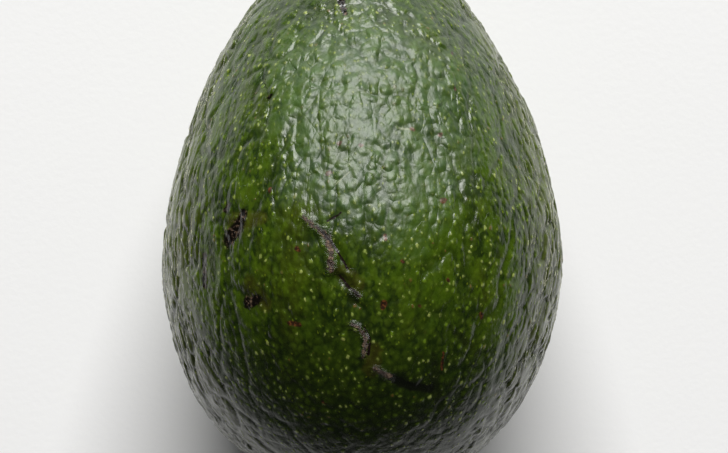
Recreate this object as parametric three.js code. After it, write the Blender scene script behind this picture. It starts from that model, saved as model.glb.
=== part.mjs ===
// A whole fresh avocado with pebbled skin, lying on its side on a small flat spot.
// Millimetres, +Z up. The stem end points to +Y and the blunt blossom end to -Y.
// The origin is under the middle of the fruit, on the surface that it lies on.
// Everything is shaped upright in the fruit's own frame, with its core line along Y and its
// widest section at y = 0, and the whole fruit is then leaned until it would rest by itself.

import * as THREE from "three";
import { ConvexGeometry } from "three/addons/geometries/ConvexGeometry.js";
import { mergeVertices } from "three/addons/utils/BufferGeometryUtils.js";

// Size of the fruit body
const DIAMETER = 68;
const BLUNT_REACH = 40.3; // from the widest section to the blossom end
const STEM_REACH = 56.7; // from the widest section to the stem end
const STEM_TAPER = 0.19; // share by which the stem end is narrower than half an ellipsoid
const TAPER_POWER = 1.36; // how late towards the stem end that narrowing comes

// The flat spot that it lies on
const FLAT_DEPTH = 0.75; // how far the spot lies inside the round surface
const FLAT_CALM = 11; // pebbles and swells fade out this close to the middle of the spot

// The pebbles, larger than life so that few faces can carry them
const PEBBLE_COUNT = 770;
const PEBBLE_SHIFT = 0.27; // how far a pebble strays from an even layout, in spacings
const PEBBLE_RISE = 0.41; // mean height of a pebble's top above the smooth form
const GROOVE_DROP = 0.34; // mean depth of the grooves between the pebbles
const PEBBLE_VARIETY = 0.3; // share by which the heights differ
const FULL_ROOM = 4.6; // a pebble closer than this to its neighbour stands lower, in proportion
const PEBBLE_FOOT = 0.7; // where a pebble's foot lies on the way from its top to a groove's middle
const PEBBLE_SEED = 11;

// Broad swells of the skin: height, length of the wave, its direction and its phase
const SWELLS = [
  { height: 0.22, wave: 46, along: [0.8, 0.35, 0.5], phase: 0.4 },
  { height: 0.2, wave: 38, along: [-0.45, 0.6, 0.65], phase: 2.1 },
  { height: 0.14, wave: 24, along: [0.3, -0.85, 0.4], phase: 4.0 },
  { height: 0.12, wave: 19, along: [-0.7, -0.2, 0.7], phase: 1.2 },
];

// The pit at the stem end and the woody button in it
const PIT_RADIUS = 6.4;
const PIT_DEPTH = 2.1;
const PIT_FLOOR = 2.9; // radius of the pit's level floor
const PIT_RINGS = 4;
const RING_STEP = 1.75; // distance between the rings of points that shape the pit
const BUTTON_RADIUS = 3.9;
const BUTTON_HEIGHT = 3.9;
const BUTTON_GAP = 0.35; // between the button's foot and the pit's floor
const BUTTON_SIDES = 18;
const BUTTON_KNOB = 0.07; // share by which the button's outline bulges in and out
const BUTTON_LEAN = 0.05; // radians to the side

const RADIUS = DIAMETER / 2;

// A repeatable source of numbers from 0 to 1.
function seededRandom(seed) {
  let state = seed;
  return () => {
    state = (Math.imul(state, 1664525) + 1013904223) >>> 0;
    return state / 2 ** 32;
  };
}

function smoothStep(low, high, value) {
  return THREE.MathUtils.smoothstep(value, low, high);
}

// The body's radius where share goes from -1 at the blossom end through 0 to 1 at the stem end.
function bodyRadius(share) {
  const round = RADIUS * Math.sqrt(Math.max(0, 1 - share * share));
  return share > 0 ? round * (1 - STEM_TAPER * share ** TAPER_POWER) : round;
}

function station(share) {
  return share * (share > 0 ? STEM_REACH : BLUNT_REACH);
}

// The balance point's place along the core line, from thin slices of the body.
function balanceStation() {
  const slices = 400;
  let volume = 0;
  let moment = 0;
  for (let i = 0; i < slices; i++) {
    const share = ((i + 0.5) / slices) * 2 - 1;
    const slice = bodyRadius(share) ** 2 * (share > 0 ? STEM_REACH : BLUNT_REACH);
    volume += slice;
    moment += slice * station(share);
  }
  return moment / volume;
}

// Where the fruit touches the surface when it lies at rest: the place where the line square to the
// skin runs through the balance point.
function restingContact() {
  const balance = balanceStation();
  const step = 1e-4;
  let low = -0.3;
  let high = 0.6;
  let slope = 0;
  for (let i = 0; i < 60; i++) {
    const share = (low + high) / 2;
    const run = station(share + step) - station(share - step);
    slope = (bodyRadius(share + step) - bodyRadius(share - step)) / run;
    const reached = station(share) + bodyRadius(share) * slope;
    if (reached < balance) low = share;
    else high = share;
  }
  const share = (low + high) / 2;
  const out = new THREE.Vector3(0, -slope, -1).normalize();
  const point = new THREE.Vector3(0, station(share), -bodyRadius(share));
  return { out, point, lean: Math.atan(slope) };
}

const contact = restingContact();

// The smooth skin point that belongs to a point on the unit sphere.
function smoothSkin(unit) {
  const around = Math.hypot(unit.x, unit.z) || 1e-9;
  const radius = bodyRadius(unit.y);
  return new THREE.Vector3((unit.x / around) * radius, station(unit.y), (unit.z / around) * radius);
}

function outward(unit) {
  const step = 1e-3;
  const share = THREE.MathUtils.clamp(unit.y, -0.999, 0.999);
  const run = station(share + step) - station(share - step);
  const rise = bodyRadius(Math.min(1, share + step)) - bodyRadius(Math.max(-1, share - step));
  const around = Math.hypot(unit.x, unit.z);
  if (around < 1e-6) return new THREE.Vector3(0, Math.sign(unit.y), 0);
  return new THREE.Vector3((unit.x / around) * run, -rise, (unit.z / around) * run).normalize();
}

function swell(point) {
  let height = 0;
  for (const { height: size, wave, along, phase } of SWELLS)
    height += size * Math.sin((point.dot(new THREE.Vector3(...along)) * 2 * Math.PI) / wave + phase);
  return height;
}

// How much of the pit's depth counts at a distance from the core line: 1 in its middle, 0 past its rim.
function pitShare(distance) {
  return 1 - smoothStep(PIT_FLOOR, PIT_RADIUS, distance);
}

// The point of the finished skin, with the relief's height there, before the flat spot is pressed in.
function skinPoint(unit, relief) {
  const smooth = smoothSkin(unit);
  const nearStem = unit.y > 0 ? Math.hypot(smooth.x, smooth.z) : Infinity;
  const calm =
    smoothStep(0.4 * FLAT_CALM, FLAT_CALM, smooth.distanceTo(contact.point)) *
    smoothStep(PIT_RADIUS, 1.8 * PIT_RADIUS, nearStem);
  const point = smooth.clone().addScaledVector(outward(unit), (swell(smooth) + relief) * calm);
  point.y -= PIT_DEPTH * pitShare(nearStem);
  return point;
}

// Presses what stands below the flat spot's plane back onto it.
function pressFlat(point) {
  const level = contact.point.dot(contact.out) - FLAT_DEPTH;
  const below = point.dot(contact.out) - level;
  if (below > 0) point.addScaledVector(contact.out, -below);
  return point;
}

// The middles of the pebbles on the unit sphere, with rings of points where the pit will be.
function pebbleMiddles(random) {
  const golden = Math.PI * (3 - Math.sqrt(5));
  const spacing = Math.sqrt((4 * Math.PI) / PEBBLE_COUNT);
  const endNarrowing = 1 - STEM_TAPER;
  const ringReach = ((PIT_RINGS + 0.6) * RING_STEP) / (RADIUS * endNarrowing);
  const middles = [];
  for (let i = 0; i < PEBBLE_COUNT; i++) {
    const y = 1 - (2 * (i + 0.5)) / PEBBLE_COUNT;
    const around = Math.sqrt(1 - y * y);
    const stray = () => (random() * 2 - 1) * PEBBLE_SHIFT * spacing;
    const middle = new THREE.Vector3(
      around * Math.cos(golden * i) + stray(),
      y + stray(),
      around * Math.sin(golden * i) + stray(),
    ).normalize();
    const inRings = middle.y > 0 && Math.hypot(middle.x, middle.z) < ringReach;
    if (!inRings) middles.push(middle);
  }
  middles.push(new THREE.Vector3(0, 1, 0));
  for (let ring = 1; ring <= PIT_RINGS; ring++) {
    const around = (ring * RING_STEP) / (RADIUS * endNarrowing);
    const points = 6 * ring;
    for (let i = 0; i < points; i++) {
      const turn = ((i + 0.5 * (ring % 2)) / points) * 2 * Math.PI;
      middles.push(
        new THREE.Vector3(around * Math.cos(turn), Math.sqrt(1 - around * around), around * Math.sin(turn)),
      );
    }
  }
  return middles;
}

// The pebbles' tops and a net of triangles between them, which says which pebbles are neighbours.
function pebbleNet(random) {
  const hull = new ConvexGeometry(pebbleMiddles(random));
  hull.deleteAttribute("normal");
  const net = mergeVertices(hull, 1e-6);
  const corners = net.getAttribute("position");
  const tops = [];
  for (let i = 0; i < corners.count; i++) {
    const unit = new THREE.Vector3().fromBufferAttribute(corners, i).normalize();
    tops.push({ unit, smooth: smoothSkin(unit), room: FULL_ROOM });
  }
  const triangles = [];
  for (let i = 0; i < net.index.count; i += 3)
    triangles.push([0, 1, 2].map((k) => net.index.getX(i + k)));
  return { tops, triangles };
}

// Gives each pebble its share of the full relief, from the distance to its nearest neighbour.
function shareRelief(tops, triangles) {
  for (const triangle of triangles)
    triangle.forEach((from, k) => {
      const to = triangle[(k + 1) % 3];
      const side = tops[from].smooth.distanceTo(tops[to].smooth);
      tops[from].room = Math.min(tops[from].room, side);
      tops[to].room = Math.min(tops[to].room, side);
    });
  for (const top of tops) top.share = (top.room / FULL_ROOM) ** 2;
}

// The foot of each pebble in each triangle round it. The key "a-b" stands for pebble a's foot in the
// triangle that has b as its next corner, and before is the corner that comes before a there.
function pebbleFeet(tops, triangles, varied) {
  const feet = new Map();
  for (const triangle of triangles) {
    const middle = new THREE.Vector3();
    for (const corner of triangle) middle.add(tops[corner].unit);
    middle.normalize();
    triangle.forEach((corner, k) => {
      const unit = tops[corner].unit.clone().lerp(middle, PEBBLE_FOOT).normalize();
      const depth = varied(GROOVE_DROP) * tops[corner].share;
      const foot = { point: pressFlat(skinPoint(unit, -depth)), before: triangle[(k + 2) % 3] };
      feet.set(`${corner}-${triangle[(k + 1) % 3]}`, foot);
    });
  }
  return feet;
}

// The skin: each pebble is a low knob that stands on its own ring of feet, with flat grooves between
// the rings.
function fruitGeometry() {
  const random = seededRandom(PEBBLE_SEED);
  const varied = (size) => size * (1 + PEBBLE_VARIETY * (random() * 2 - 1));
  const { tops, triangles } = pebbleNet(random);
  shareRelief(tops, triangles);
  for (const top of tops) top.point = pressFlat(skinPoint(top.unit, varied(PEBBLE_RISE) * top.share));
  const feet = pebbleFeet(tops, triangles, varied);
  const foot = (from, to) => feet.get(`${from}-${to}`);

  const positions = [];
  const addFace = (...points) => points.forEach((p) => positions.push(p.x, p.y, p.z));
  for (const triangle of triangles) {
    addFace(...triangle.map((corner, k) => foot(corner, triangle[(k + 1) % 3]).point));
    triangle.forEach((from, k) => {
      const to = triangle[(k + 1) % 3];
      const last = triangle[(k + 2) % 3];
      const own = foot(from, to).point;
      const ahead = foot(to, last).point;
      const across = foot(from, foot(to, from).before).point;
      addFace(tops[from].point, across, own);
      addFace(own, across, ahead);
    });
  }
  const geometry = new THREE.BufferGeometry();
  geometry.setAttribute("position", new THREE.Float32BufferAttribute(positions, 3));
  geometry.computeVertexNormals();
  return geometry;
}

// The woody button: a short stub that widens to a worn, slightly hollow top.
function buttonGeometry() {
  const r = BUTTON_RADIUS;
  const h = BUTTON_HEIGHT;
  const profile = [
    [0, 0],
    [0.6 * r, 0],
    [0.76 * r, 0.3 * h],
    [0.84 * r, 0.5 * h],
    [r, 0.7 * h],
    [0.95 * r, 0.9 * h],
    [0.66 * r, h],
    [0.3 * r, 0.9 * h],
    [0, 0.93 * h],
  ].map(([x, y]) => new THREE.Vector2(x, y));
  const geometry = new THREE.LatheGeometry(profile, BUTTON_SIDES);
  const position = geometry.getAttribute("position");
  for (let i = 0; i < position.count; i++) {
    const turn = Math.atan2(position.getZ(i), position.getX(i));
    const bulge = 1 + BUTTON_KNOB * (Math.sin(3 * turn + 0.6) + 0.5 * Math.sin(5 * turn + 2));
    position.setX(i, position.getX(i) * bulge);
    position.setZ(i, position.getZ(i) * bulge);
  }
  geometry.computeVertexNormals();
  return geometry;
}

const skinMaterial = new THREE.MeshStandardMaterial({ color: 0x2f4a14, roughness: 0.42, metalness: 0 });
const woodMaterial = new THREE.MeshStandardMaterial({ color: 0x6b5234, roughness: 0.8, metalness: 0 });

const fruit = new THREE.Mesh(fruitGeometry(), skinMaterial);
fruit.name = "fruit";

const stemButton = new THREE.Mesh(buttonGeometry(), woodMaterial);
stemButton.name = "stem_button";
const stemEnd = new THREE.Vector3(0, 1, 0);
stemButton.position.y = skinPoint(stemEnd, 0).y + BUTTON_GAP;
stemButton.rotation.z = BUTTON_LEAN;

// Leans the fruit onto its flat spot, then puts the origin under the middle of what it covers.
const leaned = new THREE.Group();
leaned.add(fruit, stemButton);
leaned.rotation.x = contact.lean;

const avocado = new THREE.Group();
avocado.add(leaned);
const reach = new THREE.Box3().setFromObject(avocado, true);
leaned.position.set(-(reach.min.x + reach.max.x) / 2, -(reach.min.y + reach.max.y) / 2, -reach.min.z);

export default avocado;
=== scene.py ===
"""A whole fresh avocado with pebbled green skin, lying on a pale table and seen from above.

Laid out as an add-on for Blender 4.5 and run as a script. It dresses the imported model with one
piece for the skin, one for the woody stem button, and a stage with a table, lights and a camera.
Metres, +Z up, the stem end towards +Y. The fruit's own frame has its core line along Y and its
widest section at y = 0; the whole fruit is leaned from there onto its flat spot.
"""

import math

import bmesh
import bpy
import numpy as np
from bpy.props import FloatProperty, FloatVectorProperty, IntProperty, PointerProperty
from mathutils import Matrix, Vector


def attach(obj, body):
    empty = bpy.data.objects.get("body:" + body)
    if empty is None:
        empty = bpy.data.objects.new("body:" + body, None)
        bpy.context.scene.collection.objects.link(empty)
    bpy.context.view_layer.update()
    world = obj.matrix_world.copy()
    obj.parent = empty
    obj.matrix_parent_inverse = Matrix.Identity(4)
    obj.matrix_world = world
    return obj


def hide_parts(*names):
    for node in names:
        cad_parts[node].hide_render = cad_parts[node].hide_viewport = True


bl_info = {
    "name": "Avocado",
    "version": (1, 0, 0),
    "blender": (4, 5, 0),
    "location": "3D View > Sidebar > Avocado",
    "description": "Makes the pebbled skin, the stem button and the stage of a whole avocado",
    "category": "Object",
}

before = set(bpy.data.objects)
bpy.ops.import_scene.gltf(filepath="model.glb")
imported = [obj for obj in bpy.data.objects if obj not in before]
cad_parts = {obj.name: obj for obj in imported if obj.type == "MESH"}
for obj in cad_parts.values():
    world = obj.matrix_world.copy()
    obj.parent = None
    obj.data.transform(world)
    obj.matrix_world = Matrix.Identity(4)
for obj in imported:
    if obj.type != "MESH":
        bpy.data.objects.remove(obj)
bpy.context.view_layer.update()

MM = 0.001

# Broad swells of the skin, the same as in the part's source: height and wave length in
# millimetres, direction and phase
SWELLS = (
    (0.22, 46, (0.8, 0.35, 0.5), 0.4),
    (0.2, 38, (-0.45, 0.6, 0.65), 2.1),
    (0.14, 24, (0.3, -0.85, 0.4), 4.0),
    (0.12, 19, (-0.7, -0.2, 0.7), 1.2),
)

# Marks on the skin: each is a line of points in millimetres on the smooth body, in the fruit's own
# frame, then the line's half width at its two ends, and how deep it is pressed in. A negative depth
# stands proud.
CORKY_SCARS = (
    (((-9.3, 0.5, 32.7), (-7.9, -0.9, 33.1), (-6.6, -1.8, 33.3)), (0.25, 0.42), -0.08),
    (((-6.6, -1.8, 33.3), (-5.4, -3.1, 33.5), (-4.9, -5.6, 33.3), (-4.9, -8.0, 33.0)), (0.45, 0.65), -0.12),
    (((-1.6, -16.6, 30.9), (-0.3, -17.1, 30.8), (0.7, -18.9, 30.0), (0.3, -21.1, 29.0)), (0.3, 0.38), -0.08),
    (((2.1, -23.0, 27.8), (4.5, -24.2, 26.8)), (0.4, 0.45), -0.1),
    (((-1.3, -11.6, 32.5), (-0.5, -12.2, 32.4)), (0.35, 0.4), -0.05),
    (((-0.4, -40.3, 0.3), (0.5, -40.3, -0.2)), (0.9, 0.8), 0.15),
)
DARK_CRACKS = (
    (((-7.2, -1.0, 33.3), (-4.9, -3.6, 33.5), (-3.8, -5.3, 33.5), (-2.3, -7.9, 33.3)), (0.22, 0.3), 0.5),
    (((-3.5, -9.1, 32.9), (-2.2, -10.7, 32.7), (-0.6, -12.1, 32.4)), (0.2, 0.3), 0.45),
    (((0.4, -17.0, 30.7), (1.3, -18.7, 30.0), (1.0, -21.0, 29.0)), (0.2, 0.3), 0.35),
    (((-5.4, -0.4, 33.6), (-3.3, 0.9, 33.8)), (0.2, 0.2), 0.2),
)
# A fold darkened nearly black: partly the skin's own dark colour, partly painted shade in the fold
FOLDS_WITH_PAINTED_SHADE = (
    (((4.8, -24.3, 26.7), (6.2, -25.0, 25.9), (8.0, -25.5, 25.1), (10.9, -25.7, 23.8)), (0.8, 0.95), 0.3),
)
# Valleys darkened in colour: painted shade in the valleys
SHADE_PAINTED_VALLEYS = (
    (((11.4, -20.8, 26.9), (11.6, -23.9, 24.9), (12.3, -28.0, 21.3)), (0.6, 1.1), 0.1),
    (((14.5, -16.5, 27.6), (16.5, -18.5, 25.6)), (0.7, 0.7), 0.1),
    (((-24.5, -2.5, 23.4), (-24.3, -7.5, 22.9)), (0.8, 0.9), 0.1),
    (((-13.9, 27.8, 22.6), (-17.4, 21.9, 23.6)), (0.7, 0.8), 0.15),
    (((-20.6, 17.5, 22.6), (-22.8, 12.5, 22.9)), (0.6, 0.8), 0.15),
    (((-3.4, -9.2, 32.9), (-1.2, -13.2, 32.2)), (0.9, 0.7), 0.05),
)
BLACK_SPOTS = (
    (((-21.5, -1.7, 26.3), (-20.2, -0.4, 27.3), (-19.1, 1.9, 28.0)), (1.75, 1.0), 0.1),
    (((-21.9, 3.3, 25.7), (-21.7, 3.7, 25.8)), (0.85, 0.8), 0.1),
    (((-18.4, -12.3, 26.7), (-17.1, -12.0, 27.6)), (1.3, 1.2), 0.15),
    (((-14.7, 21.5, 26.0), (-14.5, 21.7, 26.0)), (0.6, 0.5), 0.1),
    (((-25.9, -3.6, 21.8), (-25.9, -8.4, 20.8)), (0.7, 0.8), 0.1),
    (((-3.5, 39.4, 21.3), (-2.8, 36.9, 22.9)), (0.7, 0.6), 0.15),
)
RUSTY_SPOTS = (
    (((3.5, -13.3, 31.9), (3.3, -14.0, 31.7)), (0.7, 0.45), -0.05),
    (((-11.7, -16.0, 28.9), (-10.1, -16.4, 29.4)), (0.4, 0.5), 0.0),
    (((-5.4, 7.5, 32.9), (-5.0, 7.7, 32.9)), (0.5, 0.4), -0.1),
    (((-3.6, 12.5, 32.1), (-3.4, 12.7, 32.1)), (0.45, 0.4), -0.1),
    (((-0.2, 12.2, 32.4), (0.0, 12.2, 32.4)), (0.4, 0.3), -0.1),
    (((12.9, 15.1, 29.0), (12.9, 14.8, 29.0)), (0.4, 0.35), -0.05),
    (((13.1, 3.5, 31.2), (13.6, 3.8, 31.0)), (0.6, 0.4), 0.1),
    (((-14.7, 5.6, 30.2), (-14.7, 5.0, 30.2)), (0.35, 0.3), 0.05),
    (((8.1, 15.5, 30.6), (8.4, 15.4, 30.5)), (0.45, 0.4), -0.15),
    (((3.7, -2.8, 33.7), (3.7, -3.3, 33.7)), (0.4, 0.35), 0.05),
    (((6.4, -6.7, 32.9), (6.6, -6.8, 32.9)), (0.35, 0.3), 0.0),
    (((13.8, -9.2, 30.2), (14.0, -9.3, 30.1)), (0.4, 0.35), 0.0),
    (((-10.3, -4.5, 32.1), (-9.9, -4.8, 32.2)), (0.5, 0.35), 0.0),
    (((15.2, 23.6, 24.9), (15.2, 23.3, 24.9)), (0.3, 0.3), 0.0),
    (((14.8, 30.3, 21.9), (14.8, 30.0, 21.9)), (0.35, 0.3), 0.0),
    (((12.9, -20.2, 26.4), (12.7, -22.8, 25.0)), (0.25, 0.3), 0.0),
    (((-19.8, 24.9, 19.4), (-19.5, 24.4, 20.1)), (0.5, 0.4), 0.05),
    (((9.1, -13.4, 30.5), (9.3, -13.6, 30.4)), (0.35, 0.3), 0.0),
    (((-6.2, -27.7, 23.5), (-5.8, -27.9, 23.4)), (0.5, 0.4), 0.0),
    (((19.2, -14.0, 25.5), (19.4, -14.6, 25.2)), (0.5, 0.35), 0.0),
)
PALE_SCRATCHES = (
    (((-20.8, -19.6, 21.2), (-17.4, -25.0, 20.2)), (0.13, 0.13), 0.0),
    (((-4.1, 5.7, 33.3), (-1.9, 7.7, 33.2)), (0.12, 0.12), 0.05),
    (((6.1, 15.5, 31.0), (7.7, 15.4, 30.7)), (0.25, 0.2), -0.05),
)
OLIVE_STAINS = (
    (((-20.4, 0.6, 27.1), (-15.9, 0.8, 30.0)), (2.2, 1.2), 0.0),
    (((-17.9, -9.6, 27.8), (-15.5, -13.0, 28.5)), (1.8, 1.5), 0.0),
    (((-2.9, -8.6, 33.0), (-0.8, -10.4, 32.9)), (1.6, 1.6), 0.0),
    (((2.0, -20.5, 29.3), (1.5, -23.0, 27.8)), (1.6, 1.6), 0.0),
)

# Long furrows that bound the flat-topped ridges of the upper side, as marks with no colour
FURROWS = (
    (((-10.5, 34.0, 22.3), (-11.1, 26.3, 25.8), (-10.8, 18.9, 28.7), (-10.1, 11.8, 30.9)), (0.5, 0.5), 0.2),
    (((-4.8, 35.0, 23.6), (-5.5, 28.6, 26.6), (-6.8, 25.9, 27.4), (-6.9, 23.3, 28.4)), (0.35, 0.4), 0.2),
    (((-6.9, 23.3, 28.4), (-3.2, 22.7, 29.3)), (0.4, 0.35), 0.3),
    (((10.1, 26.2, 26.3), (11.3, 18.9, 28.5), (12.5, 12.0, 29.9), (13.3, 5.2, 30.9)), (0.4, 0.5), 0.17),
    (((15.3, 21.3, 25.7), (16.1, 12.4, 28.1), (15.4, 2.9, 30.2)), (0.5, 0.6), 0.15),
    (((1.0, 12.3, 32.4), (4.2, 11.5, 32.3), (6.1, 12.2, 31.8)), (0.3, 0.3), 0.3),
)
PRESSED = (
    *CORKY_SCARS, *DARK_CRACKS, *FOLDS_WITH_PAINTED_SHADE, *SHADE_PAINTED_VALLEYS, *BLACK_SPOTS, *RUSTY_SPOTS,
    *PALE_SCRATCHES, *FURROWS,
)

# How far a mark's hollow or rise reaches past the mark's own half width, in millimetres
MARK_SPREAD = 0.3

# Zones of the skin, each with the values between which it fades: how far a flank's skin faces up as
# a share, places along the core in millimetres, and the satin patch, an ellipse seen from above
# whose edge noise moves by a share of its size
FLANK_FADE = (0.42, 0.7)
BLUNT_FADE = (-27.0, -9.0)
# Towards the stem end the green is lighter: painted light from the window on the side that faces it
STEM_SIDE_LIGHT_FADE = (0.0, 26.0)
SATIN_CENTRE = (2.0, 17.0)
SATIN_HALF_SIZE = (15.0, 20.0)
SATIN_FADE = (0.7, 1.3)
SATIN_WANDER = 0.9

# The cube's net lies a little denser near the widest section than an even ball's
NET_DENSER = 0.2

# Pebbles: how much thinner they are towards the flanks, how their heights vary, how steeply their
# tops lean, and their mean level as a share of a tall one's height
PLATEAU_SQUASH = 1.35
PLATEAU_VARIETY = 0.45
PLATEAU_LEAN = 0.11
PLATEAU_MEAN = 0.6

# Where the relief is calm around the flat spot and the pit, as shares of their own reach
REST_CALM_START = 0.4
PIT_CALM_END = 1.8

# Cell sizes of the cobbles in the satin patch and of the finest grains, in millimetres
COBBLE_SIZE = 2.0
GRAIN_SIZE = 0.85

# Middle of the colours that noise and cells put out
GREY = (0.5, 0.5, 0.5)

# Greens of the skin, as linear red, green and blue; some of them are painted light and painted shade
DARK_GREEN = (0.009, 0.021, 0.0003)
LEAF_GREEN = (0.037, 0.072, 0.0006)
# Lighter green towards the stem end, painted light from the window beyond it
STEM_SIDE_PAINTED_LIGHT_GREEN = (0.030, 0.080, 0.010)
# Darker green at the blossom end: partly the skin's own colour, partly painted shade of the end that faces
# away from the window
BLUNT_DARK_AND_SHADE_GREEN = (0.006, 0.012, 0.0006)
# Lighter green in the satin patch, painted light where the window's highlight lies
SATIN_PAINTED_LIGHT_GREEN = (0.06, 0.13, 0.03)
PIMPLE_GREEN = (0.056, 0.092, 0.004)
# Pale grey-green on the flanks, a painted reflection of the pale table
FLANK_PAINTED_REFLECTION = (0.115, 0.125, 0.04)
# Painted shade in the grooves, in the furrows and between the cobbles
HOLLOW_PAINTED_SHADE = (0.006, 0.015, 0.0006)

# Patches of other greens: the noise's scale, detail and roughness, then the patch's colour
GREEN_PATCHES = (
    (0.13, 3.0, 0.6, (0.048, 0.062, 0.001)),
    (1.1, 1.0, 0.5, (0.065, 0.115, 0.002)),
)
PATCH_FADE = (0.5, 0.66)
PATCH_COVER = 0.5

# Dots on the pimples: the smallest radius and what chance adds to it, in millimetres
DOT_RADIUS = 0.12
DOT_RADIUS_MORE = 0.17
DOT_GREEN = (0.10, 0.165, 0.008)
DOT_YELLOW = (0.31, 0.36, 0.09)
DOT_BROWN = (0.12, 0.07, 0.015)
# Specks on the fine grains: partly small lenticels, partly painted glints
SPECK_AND_GLINT_GREEN = (0.17, 0.22, 0.01)

# Colours of the marks. Where there are two, the first lies in the hollows between the crumbs of the
# second, and the values before them are those of the crumbs' noise that part the two.
STAIN_OLIVE = (0.05, 0.04, 0.003)
SCRATCH_PALE = (0.22, 0.24, 0.14)
# Painted shade in the valleys
VALLEY_PAINTED_SHADE = (0.008, 0.012, 0.001)
# Nearly black in the fold: partly the skin's own dark colour, partly painted shade
FOLD_DARK_AND_SHADE = (0.004, 0.006, 0.001)
CRACK_BLACK = (0.008, 0.003, 0.002)
CORK_CRUMBS = (0.48, 0.65)
CORK_COLOURS = (0.028, 0.013, 0.007), (0.21, 0.135, 0.08)
BLACK_CRUMBS = (0.54, 0.64)
BLACK_COLOURS = (0.003, 0.002, 0.001), (0.13, 0.085, 0.055)
RUST_CRUMBS = (0.46, 0.64)
RUST_COLOURS = (0.022, 0.008, 0.003), (0.13, 0.045, 0.012)
RUST_IN_SATIN = (0.13, 0.09, 0.045)

# The lists of marks that are painted, and how far each list's edges stray, in millimetres
PAINTED_MARKS = {
    "cork": (CORKY_SCARS, 1.5),
    "crack": (DARK_CRACKS, 0.675),
    "fold_shade": (FOLDS_WITH_PAINTED_SHADE, 0.675),
    "valley_shade": (SHADE_PAINTED_VALLEYS, 1.5),
    "black": (BLACK_SPOTS, 1.5),
    "rusty": (RUSTY_SPOTS, 0.675),
    "scratch": (PALE_SCRATCHES, 0.675),
    "stain": (OLIVE_STAINS, 1.5),
}

# The waxy skin's finish
SKIN_FINISH = {
    "IOR": 1.57,
    "Sheen Weight": 0.45,
    "Sheen Roughness": 0.12,
    "Sheen Tint": (1.0, 0.98, 0.68, 1.0),
}

# Half outline of the stem button, from the middle of its foot to the middle of its hollow top, as
# shares of its radius and height
BUTTON_OUTLINE = (
    (0.0, -0.1), (0.58, -0.1), (0.66, 0.1), (0.76, 0.3), (0.84, 0.5), (0.93, 0.6), (1.0, 0.72),
    (0.99, 0.84), (0.9, 0.94), (0.7, 0.98), (0.45, 0.93), (0.2, 0.9), (0.0, 0.91),
)
BUTTON_SIDES = 72

# Waves around the button, from broad bulges to fibres: share of the radius, count and phase
BUTTON_WAVES = ((0.07, 3, 0.6), (0.035, 5, 2.0), (0.012, 17, 1.0), (0.009, 29, 0.0))
WOOD_COLOURS = (0.055, 0.028, 0.012), (0.23, 0.14, 0.065)
WOOD_FLECK = (0.02, 0.011, 0.006)

# The table, in metres: its half width, and how its colour falls from pale to dark with the distance
# from a point behind the fruit at the right
TABLE_HALF_WIDTH = 3.0
TABLE_PALE = (0.86, 0.86, 0.86), (0.885, 0.885, 0.885)
TABLE_DARK = (0.26, 0.26, 0.26)
TABLE_BRIGHT_CENTRE = (0.15, 0.18, 0.0)
TABLE_FADE = (0.29, 0.58)

# The window seen from the fruit's middle, its width and height, in metres, and the light's colours
WINDOW_PLACE = (0.17, 3.02, 2.155)
WINDOW_SIZE = (2.6, 2.5)
WINDOW_COLOUR = (1.0, 0.995, 0.985)
ROOM_COLOUR = (0.95, 0.98, 1.0, 1.0)

# The camera's shift from straight above the fruit's middle and its nearest view, in metres
CAMERA_SHIFT = (0.00034, 0.00536)
SENSOR_WIDTH_MM = 36.0
NEAREST_VIEW = 0.01

# Number inputs of the skin's tree, named after their settings; the relief's are in millimetres
BODY_INPUTS = (
    "Diameter", "Blunt Reach", "Stem Reach", "Stem Taper", "Taper Power",
    "Pit Radius", "Pit Floor", "Pit Depth", "Rest Calm", "Lean",
)
RELIEF_INPUTS = (
    "Plateau Size", "Plateau Height", "Groove Width", "Pimple Size", "Pimple Height", "Furrow Depth",
)


class AvocadoBody(bpy.types.PropertyGroup):
    """Sizes of the fruit's body, the same as in the part's source."""

    diameter: FloatProperty(
        name="Diameter", description="Thickness at the widest section", default=0.068, unit="LENGTH"
    )
    blunt_reach: FloatProperty(
        name="Blunt reach", description="Widest section to the blossom end", default=0.0403, unit="LENGTH"
    )
    stem_reach: FloatProperty(
        name="Stem reach", description="Widest section to the stem end", default=0.0567, unit="LENGTH"
    )
    stem_taper: FloatProperty(
        name="Stem taper",
        description="Share by which the stem end is narrower than half an ellipsoid",
        default=0.19,
        subtype="FACTOR",
    )
    taper_power: FloatProperty(
        name="Taper power", description="How late the narrowing comes", default=1.36
    )
    pit_radius: FloatProperty(
        name="Pit radius", description="Radius of the pit's rim", default=0.0064, unit="LENGTH"
    )
    pit_floor: FloatProperty(
        name="Pit floor", description="Radius of the pit's level floor", default=0.0029, unit="LENGTH"
    )
    pit_depth: FloatProperty(
        name="Pit depth", description="Depth of the pit", default=0.0021, unit="LENGTH"
    )
    lean: FloatProperty(
        name="Lean",
        description="Turn about X that lays the fruit on its flat spot, with the stem end lowered",
        default=math.radians(-11.3163),
        subtype="ANGLE",
    )
    centre: FloatVectorProperty(
        name="Centre",
        description="Where the middle of the widest section lies",
        default=(0.000185, -0.009161, 0.033446),
        subtype="TRANSLATION",
    )
    rest_point: FloatVectorProperty(
        name="Rest point",
        description="Middle of the flat spot in the fruit's own frame, before it is pressed in",
        default=(0.0, 0.0109, -0.0326),
        subtype="TRANSLATION",
    )
    rest_calm: FloatProperty(
        name="Rest calm",
        description="Reach of the calm around the flat spot",
        default=0.011,
        unit="LENGTH",
    )


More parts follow.
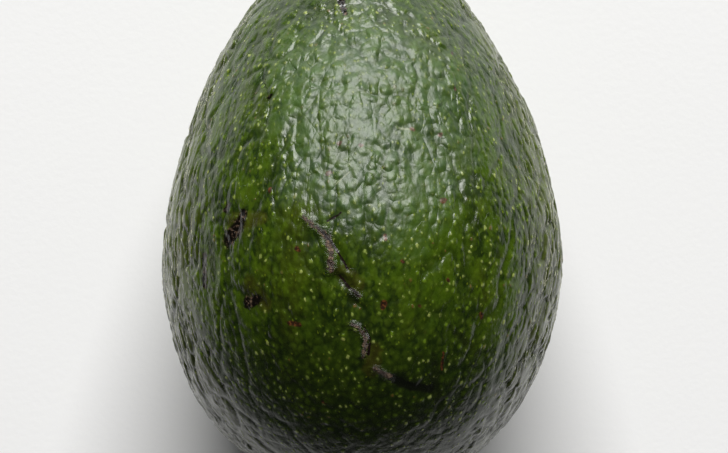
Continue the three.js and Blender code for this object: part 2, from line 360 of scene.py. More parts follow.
class AvocadoSkin(bpy.types.PropertyGroup):
    """Sizes of the skin's relief."""

    net_steps: IntProperty(name="Net steps", description="Steps along each edge of the net", default=126)
    plateau_size: FloatProperty(
        name="Plateau size", description="Width of a flat-topped pebble", default=0.0021, unit="LENGTH"
    )
    plateau_stretch: FloatProperty(
        name="Plateau stretch", description="Length of a pebble along the fruit to its width", default=2.2
    )
    plateau_height: FloatProperty(
        name="Plateau height", description="Height of a tall pebble", default=0.00032, unit="LENGTH"
    )
    groove_width: FloatProperty(
        name="Groove width", description="Width of a pebble's shoulder", default=0.0006, unit="LENGTH"
    )
    pimple_size: FloatProperty(
        name="Pimple size", description="Spacing of the dotted pimples", default=0.001, unit="LENGTH"
    )
    pimple_height: FloatProperty(
        name="Pimple height", description="Height of a pimple", default=0.00009, unit="LENGTH"
    )
    furrow_depth: FloatProperty(
        name="Furrow depth", description="Depth of the long furrows", default=0.0003, unit="LENGTH"
    )


class AvocadoButton(bpy.types.PropertyGroup):
    """Sizes of the woody stem button."""

    radius: FloatProperty(
        name="Radius", description="Radius at the worn top", default=0.0039, unit="LENGTH"
    )
    height: FloatProperty(
        name="Height", description="Height of the button", default=0.0039, unit="LENGTH"
    )
    station: FloatProperty(
        name="Station", description="Widest section to the button's foot", default=0.05495, unit="LENGTH"
    )
    lean: FloatProperty(
        name="Lean", description="Lean of the button to the side", default=0.05, subtype="ANGLE"
    )


class AvocadoStage(bpy.types.PropertyGroup):
    """Camera and light."""

    distance: FloatProperty(
        name="Camera distance", description="Camera to the fruit's middle", default=0.48, unit="LENGTH"
    )
    picture_width: FloatProperty(
        name="Picture width", description="Width that the picture covers", default=0.1238, unit="LENGTH"
    )
    window_strength: FloatProperty(
        name="Window strength", description="Power of the window in watts", default=264.0
    )
    room_strength: FloatProperty(
        name="Room strength", description="Brightness of the room's walls and ceiling", default=0.035
    )


class TreeMaker:
    """Adds nodes to a tree and joins them, laid out in columns in the order they are made."""

    def __init__(self, tree):
        self.tree = tree
        self.made = 0

    def node(self, kind, **settings):
        node = self.tree.nodes.new(kind)
        for name, value in settings.items():
            setattr(node, name, value)
        node.location = (240 * (self.made // 5), -260 * (self.made % 5))
        self.made += 1
        return node

    def feed(self, socket, value):
        if isinstance(value, bpy.types.NodeSocket):
            self.tree.links.new(value, socket)
        else:
            socket.default_value = value

    def feed_all(self, node, **values):
        """Feeds inputs by name, with spaces written as underscores."""
        for name, value in values.items():
            self.feed(node.inputs[name.replace("_", " ")], value)
        return node

    def math(self, operation, *values):
        node = self.node("ShaderNodeMath", operation=operation)
        for socket, value in zip(node.inputs, values):
            self.feed(socket, value)
        return node.outputs[0]

    def times(self, first, second):
        return self.math("MULTIPLY", first, second)

    def minus(self, first, second):
        return self.math("SUBTRACT", first, second)

    def vector(self, operation, *values):
        node = self.node("ShaderNodeVectorMath", operation=operation)
        sockets = [node.inputs[0], node.inputs["Scale"]] if operation == "SCALE" else node.inputs
        for socket, value in zip(sockets, values):
            self.feed(socket, value)
        measured = operation in ("LENGTH", "DISTANCE", "DOT_PRODUCT")
        return node.outputs["Value" if measured else "Vector"]

    def split(self, vector):
        node = self.node("ShaderNodeSeparateXYZ")
        self.feed(node.inputs[0], vector)
        return node.outputs

    def join(self, x, y, z):
        node = self.node("ShaderNodeCombineXYZ")
        for socket, value in zip(node.inputs, (x, y, z)):
            self.feed(socket, value)
        return node.outputs[0]

    def ease(self, value, low, high, start=0.0, end=1.0):
        """A smooth step from start to end as the value goes from low to high."""
        node = self.node("ShaderNodeMapRange", interpolation_type="SMOOTHSTEP")
        for socket, given in zip(node.inputs, (value, low, high, start, end)):
            self.feed(socket, given)
        return node.outputs["Result"]

    def blend(self, factor, first, second):
        """A colour between first and second."""
        node = self.node("ShaderNodeMix", data_type="RGBA")
        self.feed(node.inputs["Factor"], factor)
        for name, colour in (("A", first), ("B", second)):
            socket = [s for s in node.inputs if s.name == name and s.type == "RGBA"][0]
            self.feed(socket, colour if isinstance(colour, bpy.types.NodeSocket) else (*colour, 1.0))
        return [s for s in node.outputs if s.type == "RGBA"][0]

    def fade(self, value, low, high):
        """1 up to low, 0 from high on and smooth between."""
        return self.ease(value, low, high, start=1.0, end=0.0)

    def noise(self, place, scale, detail=2.0, roughness=0.5, output="Fac"):
        node = self.node("ShaderNodeTexNoise")
        self.feed_all(node, Vector=place, Scale=scale, Detail=detail, Roughness=roughness)
        return node.outputs[output]


def new_tree(kind, name, inputs, outputs):
    """A node tree with named inputs (name, socket type, default) and outputs (name, socket type)."""
    tree = bpy.data.node_groups.new(name, kind)
    for label, socket_type, default in inputs:
        socket = tree.interface.new_socket(name=label, in_out="INPUT", socket_type=socket_type)
        if default is not None:
            socket.default_value = default
    for label, socket_type in outputs:
        tree.interface.new_socket(name=label, in_out="OUTPUT", socket_type=socket_type)
    return tree


def link_piece(name, mesh):
    piece = bpy.data.objects.new(name, mesh)
    bpy.context.scene.collection.objects.link(piece)
    return piece


def run_tree(name, tree, values):
    """Runs a Geometry Nodes tree on an empty mesh and keeps what it makes as a plain mesh."""
    piece = link_piece(name, bpy.data.meshes.new(name))
    modifier = piece.modifiers.new(name, "NODES")
    modifier.node_group = tree
    for item in tree.interface.items_tree:
        if item.in_out == "INPUT" and item.name in values:
            modifier[item.identifier] = values[item.name]
    depsgraph = bpy.context.evaluated_depsgraph_get()
    made = bpy.data.meshes.new_from_object(
        piece.evaluated_get(depsgraph), preserve_all_data_layers=True, depsgraph=depsgraph
    )
    piece.modifiers.remove(modifier)
    piece.data = made
    return piece


# The skin's shape


def weighted_sum(make, start, *parts):
    """The start value plus each part times its weight."""
    for part, weight in parts:
        start = make.math("MULTIPLY_ADD", part, weight, start)
    return start


def by_zone(make, zones, plain, **changes):
    """A value that is plain outside the zones and changes by a given amount in each zone named."""
    return weighted_sum(make, plain, *((zones[name], change) for name, change in changes.items()))


def body_profile(make, given, share):
    """The body's radius and place along the core, at a share of the way to one end or the other."""
    to_stem = make.math("GREATER_THAN", share, 0.0)
    longer = make.minus(given["Stem Reach"], given["Blunt Reach"])
    reach = make.math("MULTIPLY_ADD", to_stem, longer, given["Blunt Reach"])
    late = make.math("POWER", make.math("MAXIMUM", share, 0.0), given["Taper Power"])
    narrowing = make.minus(1.0, make.times(late, given["Stem Taper"]))
    left = make.minus(1.0, make.times(share, share))
    round_share = make.math("SQRT", make.math("MAXIMUM", left, 0.0))
    half = make.times(given["Diameter"], 0.5)
    radius = make.times(make.times(half, round_share), narrowing)
    return radius, make.times(share, reach)


def smooth_body(make, given):
    """The smooth body of revolution, from a cube's net spread over a ball."""
    cube = make.node("GeometryNodeMeshCube")
    cube.inputs["Size"].default_value = (2, 2, 2)
    for axis in "XYZ":
        make.feed(cube.inputs[f"Vertices {axis}"], given["Net Points"])
    corner = make.vector("SCALE", make.node("GeometryNodeInputPosition").outputs[0], math.pi / 4)
    x, y, z = make.split(make.vector("NORMALIZE", make.vector("TANGENT", corner)))
    denser = make.math("MULTIPLY_ADD", make.times(y, y), NET_DENSER, 1 - NET_DENSER)
    radius, along = body_profile(make, given, make.times(y, denser))
    aside = make.vector("NORMALIZE", make.join(x, 0.0, z))
    place = make.vector("ADD", make.vector("SCALE", aside, radius), make.join(0.0, along, 0.0))
    body = make.node("GeometryNodeSetPosition")
    make.feed_all(body, Geometry=cube.outputs["Mesh"], Position=place)
    return body.outputs[0]


# The relief is made by the same nodes in the shape's tree and in the skin's material, so the
# material's grooves and dots lie exactly on the shape's. Lengths are in millimetres there, and a
# place is a point on the smooth body, in the fruit's own frame.


def cells(make, place, size, feature="F1"):
    """Cells of about one size: the Voronoi node's outputs."""
    node = make.node("ShaderNodeTexVoronoi", feature=feature)
    make.feed_all(node, Vector=place, Scale=make.math("DIVIDE", 1.0, size))
    return node.outputs


def stirred(make, place, wave, reach):
    """The place, moved by slow noise, so that the outlines of what follows wander."""
    noise = make.noise(place, 1 / wave, detail=1.0, output="Color")
    away = make.vector("SUBTRACT", noise, GREY)
    return make.vector("ADD", place, make.vector("SCALE", away, 2 * reach))


def plateau_relief(make, place, size, stretch, height, groove_width):
    """Flat-topped pebbles with wandering outlines, some of them fused: their height and grooves."""
    slim = make.join(1.0, make.math("DIVIDE", 1.0, stretch), PLATEAU_SQUASH)
    squeezed = make.vector("MULTIPLY", place, slim)
    looked_up = stirred(make, squeezed, wave=2.4, reach=0.9)
    own = cells(make, looked_up, size)
    walls = cells(make, looked_up, size, "DISTANCE_TO_EDGE")
    edge = make.times(walls["Distance"], size)
    flat = make.math("MINIMUM", make.math("DIVIDE", edge, groove_width), 1.0)
    fall = make.minus(1.0, flat)
    parted = make.ease(make.noise(squeezed, 0.21, detail=1.0), 0.4, 0.56, start=0.12)
    groove = make.times(make.times(fall, fall), parted)
    draw = make.split(own["Color"])[0]
    tall = make.math("MULTIPLY_ADD", draw, PLATEAU_VARIETY, 1 - PLATEAU_VARIETY)
    tall = make.times(tall, height)
    level = make.times(make.minus(1.0, groove), tall)
    from_middle = make.vector("SUBTRACT", looked_up, own["Position"])
    slope = make.vector("SUBTRACT", own["Color"], GREY)
    lean = make.times(make.vector("DOT_PRODUCT", from_middle, slope), PLATEAU_LEAN)
    return make.math("MULTIPLY_ADD", lean, flat, level), groove


def pimple_relief(make, place, size, height):
    """Small round pimples: their height, the distance from their middles and a random colour."""
    longer = make.vector("MULTIPLY", place, (1.0, 0.75, 1.0))
    own = cells(make, stirred(make, longer, wave=1.7, reach=0.3), size)
    away = make.times(own["Distance"], size)
    dome = make.fade(away, 0.0, make.times(size, 0.55))
    return make.times(dome, height), away, own["Color"]


def flank_share(make, place):
    """0 on the upper side, 1 on the flanks and below, where the relief is livelier and the green is paler as
    a painted reflection of the table.
    """
    x, _, z = make.split(place)
    upward = make.math("DIVIDE", z, make.vector("LENGTH", make.join(x, 0.0, z)))
    return make.fade(upward, *FLANK_FADE)


def blunt_share(make, place):
    """0 over most of the fruit, 1 around the blossom end, where the relief is calmer and the green is
    darker, partly the skin's own colour and partly painted shade.
    """
    return make.fade(make.split(place)[1], *BLUNT_FADE)


def satin_share(make, place):
    """The satin patch on the upper side, towards the stem: 1 inside it, 0 outside. It is rougher and painted
    a lighter green, as painted light where the window's highlight lies.
    """
    x, y, z = make.split(place)
    offsets = []
    for value, centre, half_size in zip((x, y), SATIN_CENTRE, SATIN_HALF_SIZE):
        offsets.append(make.math("DIVIDE", make.minus(value, centre), half_size))
    wander = make.minus(make.noise(place, 0.14), 0.5)
    off = weighted_sum(make, make.vector("LENGTH", make.join(*offsets, 0.0)), (wander, SATIN_WANDER))
    return make.times(make.fade(off, *SATIN_FADE), make.math("GREATER_THAN", z, 0.0))


def furrow_share(make, place):
    """Long wandering furrows between groups of pebbles: 1 in a furrow, 0 away from it."""
    stretched = make.vector("MULTIPLY", place, (1.0, 0.4, 1.0))
    wander = make.noise(stretched, 0.17, detail=1.5, roughness=0.4)
    off = make.math("ABSOLUTE", make.minus(wander, 0.5))
    return make.fade(off, 0.0, 0.055)


def swell_height(make, place):
    """The broad swells: a sum of slow waves."""
    height = 0.0
    for size, wave, along, phase in SWELLS:
        turn = make.vector("DOT_PRODUCT", place, along)
        angle = make.math("MULTIPLY_ADD", turn, math.tau / wave, phase)
        height = make.math("MULTIPLY_ADD", make.math("SINE", angle), size, height)
    return height


def skin_relief(make, given, place):
    """Height of the pebbles, pimples and furrows at a place."""
    sizes = [given[f"Plateau {name}"] for name in ("Size", "Stretch", "Height")]
    pebbles, _ = plateau_relief(make, place, *sizes, given["Groove Width"])
    pimples, _, _ = pimple_relief(make, place, given["Pimple Size"], given["Pimple Height"])
    sunk = make.times(furrow_share(make, place), given["Furrow Depth"])
    relief = make.minus(make.math("ADD", pebbles, pimples), sunk)
    mean = make.times(given["Plateau Height"], PLATEAU_MEAN)
    zones = {"flank": flank_share(make, place), "blunt": blunt_share(make, place)}
    livelier = by_zone(make, zones, 0.6, flank=0.55, blunt=-0.3)
    return make.times(make.minus(relief, mean), livelier)


def skin_move(make, given, place, relief):
    """How a point of the smooth body moves: out by the relief, in millimetres, and into the pit."""
    x, y, z = make.split(place)
    # A metre more on the blunt side keeps the pit to the stem end
    blunt_side = make.math("LESS_THAN", y, 0.0)
    from_core = make.math("ADD", make.vector("LENGTH", make.join(x, 0.0, z)), blunt_side)
    from_rest = make.vector("DISTANCE", place, given["Rest Point"])
    calm, rim = given["Rest Calm"], given["Pit Radius"]
    rest_calm = make.ease(from_rest, make.times(calm, REST_CALM_START), calm)
    pit_calm = make.ease(from_core, rim, make.times(rim, PIT_CALM_END))
    raised = make.times(relief, make.times(rest_calm, pit_calm))
    raised = make.times(raised, MM)
    pit = make.times(make.fade(from_core, given["Pit Floor"], rim), given["Pit Depth"])
    dip = make.join(0.0, make.times(pit, -1.0), 0.0)
    normal = make.node("GeometryNodeInputNormal").outputs[0]
    return make.vector("ADD", make.vector("SCALE", normal, raised), dip)


def laid_down(make, given, geometry):
    """The geometry leaned as the fruit lies, with its flat spot pressed in at the table's height."""
    leaned = make.node("GeometryNodeTransform")
    turn = make.join(given["Lean"], 0.0, 0.0)
    make.feed_all(leaned, Geometry=geometry, Translation=given["Centre"], Rotation=turn)
    x, y, z = make.split(make.node("GeometryNodeInputPosition").outputs[0])
    pressed = make.node("GeometryNodeSetPosition")
    above = make.join(x, y, make.math("MAXIMUM", z, 0.0))
    make.feed_all(pressed, Geometry=leaned.outputs[0], Position=above)
    return pressed.outputs[0]


def skin_tree():
    """The whole skin: a smooth body that pebbles, pimples, furrows and swells are raised on."""
    inputs = [(name, "NodeSocketFloat", 1.0) for name in (*BODY_INPUTS, *RELIEF_INPUTS)]
    inputs += [("Plateau Stretch", "NodeSocketFloat", 1.0), ("Net Points", "NodeSocketInt", 8)]
    inputs += [("Rest Point", "NodeSocketVector", None), ("Centre", "NodeSocketVector", None)]
    inputs += [("Material", "NodeSocketMaterial", None)]
    tree = new_tree("GeometryNodeTree", "pebbled_skin", inputs, [("Geometry", "NodeSocketGeometry")])
    make = TreeMaker(tree)
    given = make.node("NodeGroupInput").outputs
    place = make.node("GeometryNodeInputPosition").outputs[0]
    in_mm = make.vector("SCALE", place, 1 / MM)
    store = make.node("GeometryNodeStoreNamedAttribute", data_type="FLOAT_VECTOR")
    make.feed_all(store, Geometry=smooth_body(make, given), Name="smooth_place", Value=in_mm)
    relief = make.math("ADD", skin_relief(make, given, in_mm), swell_height(make, in_mm))
    relieved = make.node("GeometryNodeSetPosition")
    move = skin_move(make, given, place, relief)
    make.feed_all(relieved, Geometry=store.outputs[0], Offset=move)
    whole = make.node("GeometryNodeRealizeInstances")
    make.feed(whole.inputs[0], laid_down(make, given, relieved.outputs[0]))
    dressed = make.node("GeometryNodeSetMaterial")
    make.feed_all(dressed, Geometry=whole.outputs[0], Material=given["Material"])
    make.feed(make.node("NodeGroupOutput").inputs[0], dressed.outputs[0])
    return tree


def read_points(values, name, count):
    """Three numbers for each point of a mesh, as rows."""
    flat = np.empty(count * 3)
    values.foreach_get(name, flat)
    return flat.reshape(-1, 3)


def mark_strength(places, line, start_width, end_width):
    """1 on a mark's line, falling off smoothly to its sides, for each place."""
    strength = np.zeros(len(places))
    for first, last in zip(line, line[1:]):
        run = np.subtract(last, first)
        share = np.clip((places - first) @ run / (run @ run), 0, 1)
        away = np.linalg.norm(places - first - share[:, None] * run, axis=1)
        half = MARK_SPREAD + start_width + (end_width - start_width) * share
        strength = np.maximum(strength, np.exp(-((away / half) ** 2)))
    return strength


def press_marks(mesh):
    """Presses the scars, folds, furrows and spots into the finished skin."""
    count = len(mesh.vertices)
    places = read_points(mesh.attributes["smooth_place"].data, "vector", count)
    depth, crumbly = np.zeros(count), np.zeros(count)
    for mark in PRESSED:
        line, widths, deep = mark
        strength = mark_strength(places, line, *widths)
        depth += strength * deep * MM
        if mark in CORKY_SCARS:
            crumbly = np.maximum(crumbly, strength)
    mesh.attributes.new("crumbly", "FLOAT", "POINT").data.foreach_set("value", crumbly)
    normals = read_points(mesh.vertices, "normal", count)
    moved = read_points(mesh.vertices, "co", count) - normals * depth[:, None]
    mesh.vertices.foreach_set("co", moved.ravel())
    mesh.update()


# Materials


def new_material(name):
    """A material, the maker of its nodes and its shader."""
    material = bpy.data.materials.new(name)
    material.use_nodes = True
    material.node_tree.nodes.clear()
    make = TreeMaker(material.node_tree)
    shader = make.node("ShaderNodeBsdfPrincipled")
    output = make.node("ShaderNodeOutputMaterial")
    make.feed(output.inputs["Surface"], shader.outputs["BSDF"])
    return material, make, shader


def object_place(make):
    return make.node("ShaderNodeTexCoord").outputs["Object"]


def attribute(make, name):
    return make.node("ShaderNodeAttribute", attribute_name=name).outputs


def bump(make, height):
    """A bump from a height in millimetres."""
    node = make.node("ShaderNodeBump")
    return make.feed_all(node, Height=height, Distance=MM).outputs["Normal"]


def mark_group():
    """A mark along a straight line: 1 on the line, 0 past its half width, smooth between."""
    number, vector = "NodeSocketFloat", "NodeSocketVector"
    inputs = [(name, vector, None) for name in ("Place", "Start", "End")]
    inputs += [(name, number, 0.5) for name in ("Start Width", "End Width")]
    tree = new_tree("ShaderNodeTree", "line_mark", inputs, [("Mask", number)])
    make = TreeMaker(tree)
    given = make.node("NodeGroupInput").outputs
    run = make.vector("SUBTRACT", given["End"], given["Start"])
    to_place = make.vector("SUBTRACT", given["Place"], given["Start"])
    length = make.vector("DOT_PRODUCT", run, run)
    share = make.math("DIVIDE", make.vector("DOT_PRODUCT", to_place, run), length)
    share = make.math("MAXIMUM", make.math("MINIMUM", share, 1.0), 0.0)
    away = make.vector("DISTANCE", to_place, make.vector("SCALE", run, share))
    wider = make.minus(given["End Width"], given["Start Width"])
    width = make.math("MULTIPLY_ADD", wider, share, given["Start Width"])
    inner, outer = make.times(width, 0.55), make.times(width, 1.15)
    make.feed(make.node("NodeGroupOutput").inputs[0], make.fade(away, inner, outer))
    return tree


def marks_mask(make, group, place, marks):
    """The largest mask of a list of marks, at a place in millimetres."""
    mask = None
    for line, (start_width, end_width), _ in marks:
        for first, last in zip(line, line[1:]):
            node = make.node("ShaderNodeGroup", node_tree=group)
            make.feed_all(node, Place=place, Start=first, End=last)
            make.feed_all(node, Start_Width=start_width, End_Width=end_width)
            own = node.outputs[0]
            mask = own if mask is None else make.math("MAXIMUM", mask, own)
    return mask


def painted_masks(make, place):
    """A mask with ragged edges for each list of painted marks."""
    noise = make.noise(place, 1.1, detail=3.0, roughness=0.7, output="Color")
    ragged = make.vector("SUBTRACT", noise, GREY)
    group = mark_group()
    masks = {}
    for name, (marks, stray) in PAINTED_MARKS.items():
        moved = make.vector("ADD", place, make.vector("SCALE", ragged, stray))
        masks[name] = marks_mask(make, group, moved, marks)
    return masks


def skin_parts(make, skin, place, along, zones):
    """The parts of the relief that both the skin's colour and its bump are made from."""
    sizes = (skin.plateau_size / MM, skin.plateau_stretch, skin.plateau_height / MM)
    pebbles, groove = plateau_relief(make, place, *sizes, skin.groove_width / MM)
    pimple_sizes = (skin.pimple_size / MM, skin.pimple_height / MM)
    pimples, from_pimple, draw = pimple_relief(make, place, *pimple_sizes)
    cobbles = cells(make, stirred(make, place, wave=2.2, reach=0.6), COBBLE_SIZE)["Distance"]
    grains = cells(make, stirred(make, along, wave=1.1, reach=0.25), GRAIN_SIZE)
    return {
        "pebbles": pebbles,
        "groove": groove,
        "pimples": pimples,
        "from_pimple": from_pimple,
        "pimple_draw": draw,
        "furrow": furrow_share(make, place),
        "cobble": make.times(make.fade(cobbles, 0.05, 0.65), zones["satin"]),
        "from_grain": make.times(grains["Distance"], GRAIN_SIZE),
        "grain_draw": make.split(grains["Color"])[0],
        "fine": make.noise(along, 3.2, roughness=0.6),
        "crumbs": make.noise(place, 1.7, detail=4.0, roughness=0.7),
    }


def ground_green(make, place, along, zones, parts):
    """The skin's ground colour: mixed greens, tinted by zone with painted light and shade, and with painted
    shade in the hollows.
    """
    blotches = make.minus(make.noise(along, 0.4, detail=4.0, roughness=0.65), 0.5)
    mixed = weighted_sum(make, make.noise(along, 0.08, detail=3.0), (blotches, 1.1))
    green = make.blend(make.ease(mixed, 0.38, 0.64), DARK_GREEN, LEAF_GREEN)
    for scale, detail, roughness, colour in GREEN_PATCHES:
        patch = make.ease(make.noise(along, scale, detail, roughness), *PATCH_FADE, end=PATCH_COVER)
        green = make.blend(patch, green, colour)
    # Zone tints: painted light towards the stem end and in the satin patch, the blossom end darker partly as
    # painted shade, and a painted table reflection on the flanks; the pimple tops' lighter halos are the
    # skin's own
    for share, cover, tint in (
        (make.ease(make.split(place)[1], *STEM_SIDE_LIGHT_FADE), 0.2, STEM_SIDE_PAINTED_LIGHT_GREEN),
        (zones["blunt"], 0.8, BLUNT_DARK_AND_SHADE_GREEN),
        (zones["satin"], 0.4, SATIN_PAINTED_LIGHT_GREEN),
        (make.fade(parts["from_pimple"], 0.15, 0.75), 0.55, PIMPLE_GREEN),
        (make.times(zones["flank"], zones["flank"]), 0.4, FLANK_PAINTED_REFLECTION),
    ):
        green = make.blend(make.times(share, cover), green, tint)
    # Painted shade in the pebbles' grooves, in the furrows and between the satin patch's cobbles
    grooves = make.times(parts["groove"], by_zone(make, zones, 0.35, flank=0.45))
    hollow_shade = make.math("MAXIMUM", grooves, make.times(parts["furrow"], 0.5))
    between = make.minus(zones["satin"], parts["cobble"])
    hollow_shade = make.math("MAXIMUM", hollow_shade, make.times(between, 0.25))
    return make.blend(hollow_shade, green, HOLLOW_PAINTED_SHADE)


def dot_mask(make, parts):
    """The dots on the pimples, of uneven size, strength and outline."""
    chance, girth, _ = make.split(parts["pimple_draw"])
    radius = make.math("MULTIPLY_ADD", girth, DOT_RADIUS_MORE, DOT_RADIUS)
    uneven = make.minus(parts["fine"], 0.5)
    away = weighted_sum(make, parts["from_pimple"], (uneven, 0.6))
    inner, outer = make.times(radius, 0.5), make.times(radius, 1.35)
    return make.times(make.fade(away, inner, outer), make.ease(chance, 0.05, 0.4))


def add_dots(make, colour, dot, zones, parts):
    """Paints the dots, from green to yellow and a few of them brown, and specks on fine grains that are
    partly small lenticels and partly painted glints.
    """
    hue = make.split(parts["pimple_draw"])[2]
    dot_colour = make.blend(make.ease(hue, 0.35, 0.85), DOT_GREEN, DOT_YELLOW)
    dot_colour = make.blend(make.ease(hue, 0.9, 0.94), dot_colour, DOT_BROWN)
    shown = by_zone(make, zones, 0.85, flank=-0.4, satin=-0.55)
    colour = make.blend(make.times(dot, shown), colour, dot_colour)
    # Specks on the fine grains: partly small lenticels, partly painted glints
    strength = make.ease(parts["grain_draw"], 0.4, 0.85, end=0.65)
    speck_and_glint = make.times(make.fade(parts["from_grain"], 0.05, 0.2), strength)
    return make.blend(speck_and_glint, colour, SPECK_AND_GLINT_GREEN)


def add_marks(make, colour, masks, zones, crumbs):
    """Paints the marks, those that hide the others last."""
    rust = make.blend(make.ease(crumbs, *RUST_CRUMBS), *RUST_COLOURS)
    rust = make.blend(make.times(zones["satin"], 0.3), rust, RUST_IN_SATIN)
    for name, cover, paint in (
        ("stain", 0.4, STAIN_OLIVE),
        ("scratch", 0.6, SCRATCH_PALE),
        # Painted shade in the valleys
        ("valley_shade", 0.6, VALLEY_PAINTED_SHADE),
        # The fold: partly its own dark colour, partly painted shade
        ("fold_shade", 1.0, FOLD_DARK_AND_SHADE),
        ("rusty", 1.0, rust),
        ("black", 1.0, make.blend(make.ease(crumbs, *BLACK_CRUMBS), *BLACK_COLOURS)),
        ("cork", 1.0, make.blend(make.ease(crumbs, *CORK_CRUMBS), *CORK_COLOURS)),
        ("crack", 1.0, CRACK_BLACK),
    ):
        colour = make.blend(make.times(masks[name], cover), colour, paint)
    return colour


def skin_height(make, along, dot, zones, parts):
    """Height of the fine relief that is only bump, in millimetres."""
    grain = make.times(make.fade(parts["from_grain"], 0.0, 0.6), 0.045)
    grain = weighted_sum(make, grain, (make.noise(along, 1.0, roughness=0.55), 0.1))
    height = weighted_sum(
        make,
        0.0,
        (parts["pebbles"], by_zone(make, zones, 0.15, flank=0.45, satin=0.25)),
        (parts["pimples"], by_zone(make, zones, 0.45, satin=-0.2)),
        (parts["furrow"], -0.045),
        (parts["cobble"], 0.24),
        (grain, by_zone(make, zones, 1.0, flank=-0.8, satin=-0.1)),
    )
    height = make.times(height, by_zone(make, zones, 1.0, blunt=-0.5))
    crumbly = make.times(attribute(make, "crumbly")["Fac"], parts["crumbs"])
    return weighted_sum(make, height, (parts["fine"], 0.025), (dot, 0.03), (crumbly, 0.6))


def skin_material(skin):
    """Waxy green skin with dots and marks, and finer relief than the mesh can carry."""
    material, make, shader = new_material("avocado_skin")
    place = attribute(make, "smooth_place")["Vector"]
    along = make.vector("MULTIPLY", place, (1.0, 0.6, 1.0))
    kinds = {"flank": flank_share, "blunt": blunt_share, "satin": satin_share}
    zones = {name: share(make, place) for name, share in kinds.items()}
    parts = skin_parts(make, skin, place, along, zones)
    masks = painted_masks(make, place)
    dot = dot_mask(make, parts)

    colour = ground_green(make, place, along, zones, parts)
    colour = add_dots(make, colour, dot, zones, parts)
    colour = add_marks(make, colour, masks, zones, parts["crumbs"])
    make.feed(shader.inputs["Base Color"], colour)
    rough = make.math("MULTIPLY_ADD", parts["fine"], 0.1, 0.21)
    rough = by_zone(make, {**zones, **masks}, rough, flank=-0.09, satin=0.19, black=-0.14, cork=0.2)
    make.feed(shader.inputs["Roughness"], rough)
    for name, value in SKIN_FINISH.items():
        shader.inputs[name].default_value = value
    height = skin_height(make, along, dot, zones, parts)
    make.feed(shader.inputs["Normal"], bump(make, height))
    return material


def wood_material(centre):
    """Dry brown wood with fibres along the stalk and dark flecks."""
    material, make, shader = new_material("stem_wood")
    from_centre = make.vector("SUBTRACT", object_place(make), tuple(centre))
    in_mm = make.vector("SCALE", from_centre, 1 / MM)
    stretched = make.vector("MULTIPLY", in_mm, (3.0, 0.35, 3.0))
    fibres = make.noise(stretched, 0.9, detail=4.0, roughness=0.65)
    flecks = make.noise(in_mm, 2.4, detail=3.0)
    colour = make.blend(make.ease(fibres, 0.35, 0.65), *WOOD_COLOURS)
    colour = make.blend(make.ease(flecks, 0.58, 0.72, end=0.7), colour, WOOD_FLECK)
    make.feed(shader.inputs["Base Color"], colour)
    make.feed(shader.inputs["Roughness"], make.ease(fibres, 0.2, 0.8, start=0.7, end=0.95))
    height = weighted_sum(make, 0.0, (fibres, 0.35), (flecks, 0.2))
    make.feed(shader.inputs["Normal"], bump(make, height))
    return material


def table_material():
    """Pale, almost plain table top that darkens away from the fruit, more to the left and in front."""
    material, make, shader = new_material("pale_table")
    place = object_place(make)
    pale = make.blend(make.noise(place, 9.0, detail=3.0), *TABLE_PALE)
    away = make.vector("DISTANCE", place, TABLE_BRIGHT_CENTRE)
    make.feed(shader.inputs["Base Color"], make.blend(make.ease(away, *TABLE_FADE), pale, TABLE_DARK))
    grain = make.times(make.noise(place, 900.0), 0.02)
    make.feed(shader.inputs["Normal"], bump(make, grain))
    shader.inputs["Roughness"].default_value = 0.6
    return material


# The pieces


def lean_matrix(body):
    """From the fruit's own frame to the part's frame."""
    return Matrix.Translation(Vector(body.centre)) @ Matrix.Rotation(body.lean, 4, "X")


def setting(group, label):
    """The setting of a property group that a tree's input is named after."""
    return getattr(group, label.lower().replace(" ", "_"))


def shade_smooth(mesh):
    mesh.polygons.foreach_set("use_smooth", [True] * len(mesh.polygons))


class AVOCADO_OT_make_skin(bpy.types.Operator):
    """Make the pebbled skin, which stands for the fruit's solid"""

    bl_idname = "avocado.make_skin"
    bl_label = "Make the skin"

    def execute(self, context):
        body, skin = context.scene.avocado_body, context.scene.avocado_skin
        values = {label: setting(body, label) for label in BODY_INPUTS}
        values.update({label: setting(skin, label) / MM for label in RELIEF_INPUTS})
        values["Rest Point"] = tuple(body.rest_point)
        values["Centre"] = tuple(body.centre)
        values["Plateau Stretch"] = skin.plateau_stretch
        values["Net Points"] = skin.net_steps + 1
        values["Material"] = skin_material(skin)
        piece = run_tree("pebbled_skin", skin_tree(), values)
        press_marks(piece.data)
        shade_smooth(piece.data)
        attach(piece, "root")
        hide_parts("fruit")
        return {"FINISHED"}


def button_ring(shape, out, up):
    """A ring of points around the button, or one point where the outline meets its middle."""
    ring = []
    for side in range(BUTTON_SIDES if out else 1):
        turn = math.tau * side / BUTTON_SIDES
        waves = sum(high * math.sin(count * turn + phase) for high, count, phase in BUTTON_WAVES)
        reach = out * (1 + waves)
        ring.append(shape.verts.new((reach * math.cos(turn), up, reach * math.sin(turn))))
    return ring


def button_mesh(radius, height):
    """The button, with the middle of its foot near the origin and its top towards +Y."""
    shape = bmesh.new()
    rings = [button_ring(shape, out * radius, up * height) for out, up in BUTTON_OUTLINE]
    for lower, upper in zip(rings, rings[1:]):
        for side in range(BUTTON_SIDES):
            after = (side + 1) % BUTTON_SIDES
            corners = [lower[side % len(lower)], lower[after % len(lower)]]
            corners += [upper[after % len(upper)], upper[side % len(upper)]]
            shape.faces.new(list(dict.fromkeys(corners)))
    bmesh.ops.recalc_face_normals(shape, faces=shape.faces)
    mesh = bpy.data.meshes.new("stem_button_wood")
    shape.to_mesh(mesh)
    shape.free()
    return mesh


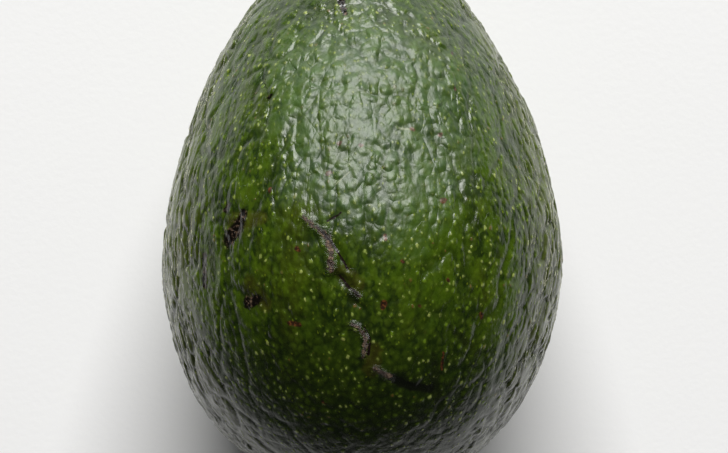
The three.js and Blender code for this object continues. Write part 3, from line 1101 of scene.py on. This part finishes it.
class AVOCADO_OT_make_stem_button(bpy.types.Operator):
    """Make the woody button in the pit at the stem end"""

    bl_idname = "avocado.make_stem_button"
    bl_label = "Make the stem button"

    def execute(self, context):
        body, button = context.scene.avocado_body, context.scene.avocado_button
        mesh = button_mesh(button.radius, button.height)
        foot = lean_matrix(body) @ Matrix.Translation((0, button.station, 0))
        mesh.transform(foot @ Matrix.Rotation(button.lean, 4, "Z"))
        mesh.materials.append(wood_material(foot.translation))
        shade_smooth(mesh)
        piece = link_piece("stem_button_wood", mesh)
        subdivide = piece.modifiers.new("round", "SUBSURF")
        subdivide.levels = 1
        subdivide.render_levels = 1
        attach(piece, "root")
        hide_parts("stem_button")
        return {"FINISHED"}


def add_table():
    """The flat table top, centred under the fruit."""
    mesh = bpy.data.meshes.new("table")
    half = TABLE_HALF_WIDTH
    corners = [(-half, -half, 0), (half, -half, 0), (half, half, 0), (-half, half, 0)]
    mesh.from_pydata(corners, [], [(0, 1, 2, 3)])
    mesh.materials.append(table_material())
    link_piece("table", mesh)


def add_window(aim, power):
    """A large window, high beyond the stem end, as a rectangular light that faces the fruit."""
    light = bpy.data.lights.new("window", "AREA")
    light.shape = "RECTANGLE"
    light.size, light.size_y = WINDOW_SIZE
    light.energy = power
    light.color = WINDOW_COLOUR
    lamp = bpy.data.objects.new("window", light)
    lamp.location = aim + Vector(WINDOW_PLACE)
    lamp.rotation_euler = (aim - lamp.location).to_track_quat("-Z", "Y").to_euler()
    bpy.context.scene.collection.objects.link(lamp)


def add_room(scene, strength):
    """The dim light of the room from all sides."""
    world = bpy.data.worlds.new("room")
    world.use_nodes = True
    background = world.node_tree.nodes["Background"]
    background.inputs["Color"].default_value = ROOM_COLOUR
    background.inputs["Strength"].default_value = strength
    scene.world = world


def add_camera(scene, middle, stage):
    """The camera, looking straight down."""
    lens = bpy.data.cameras.new("camera")
    lens.sensor_width = SENSOR_WIDTH_MM
    lens.lens = SENSOR_WIDTH_MM * stage.distance / stage.picture_width
    lens.clip_start = NEAREST_VIEW
    camera = bpy.data.objects.new("camera", lens)
    camera.location = middle + Vector((*CAMERA_SHIFT, stage.distance))
    scene.collection.objects.link(camera)
    scene.camera = camera


class AVOCADO_OT_make_stage(bpy.types.Operator):
    """Make the table, the lights and the camera"""

    bl_idname = "avocado.make_stage"
    bl_label = "Make the stage"

    def execute(self, context):
        scene = context.scene
        stage = scene.avocado_stage
        middle = Vector(scene.avocado_body.centre)
        scene.view_settings.view_transform = "Standard"
        add_table()
        add_window(middle, stage.window_strength)
        add_room(scene, stage.room_strength)
        add_camera(scene, middle, stage)
        return {"FINISHED"}


class AVOCADO_PT_sidebar(bpy.types.Panel):
    """Lists the pieces and their sizes"""

    bl_label = "Avocado"
    bl_idname = "AVOCADO_PT_sidebar"
    bl_space_type = "VIEW_3D"
    bl_region_type = "UI"
    bl_category = "Avocado"

    def draw(self, context):
        for operator, names in OPERATORS.items():
            box = self.layout.box()
            box.operator(operator.bl_idname)
            for name in names:
                for label in GROUPS[name].__annotations__:
                    box.prop(getattr(context.scene, name), label)


GROUPS = {
    "avocado_body": AvocadoBody,
    "avocado_skin": AvocadoSkin,
    "avocado_button": AvocadoButton,
    "avocado_stage": AvocadoStage,
}
OPERATORS = {
    AVOCADO_OT_make_skin: ("avocado_body", "avocado_skin"),
    AVOCADO_OT_make_stem_button: ("avocado_button",),
    AVOCADO_OT_make_stage: ("avocado_stage",),
}


def register():
    for kind in (*GROUPS.values(), *OPERATORS, AVOCADO_PT_sidebar):
        bpy.utils.register_class(kind)
    for name, kind in GROUPS.items():
        setattr(bpy.types.Scene, name, PointerProperty(type=kind))


def unregister():
    for name in GROUPS:
        delattr(bpy.types.Scene, name)
    for kind in (AVOCADO_PT_sidebar, *OPERATORS, *GROUPS.values()):
        bpy.utils.unregister_class(kind)


def main():
    register()
    bpy.ops.avocado.make_stage()
    bpy.ops.avocado.make_skin()
    bpy.ops.avocado.make_stem_button()


if __name__ == "__main__":
    main()
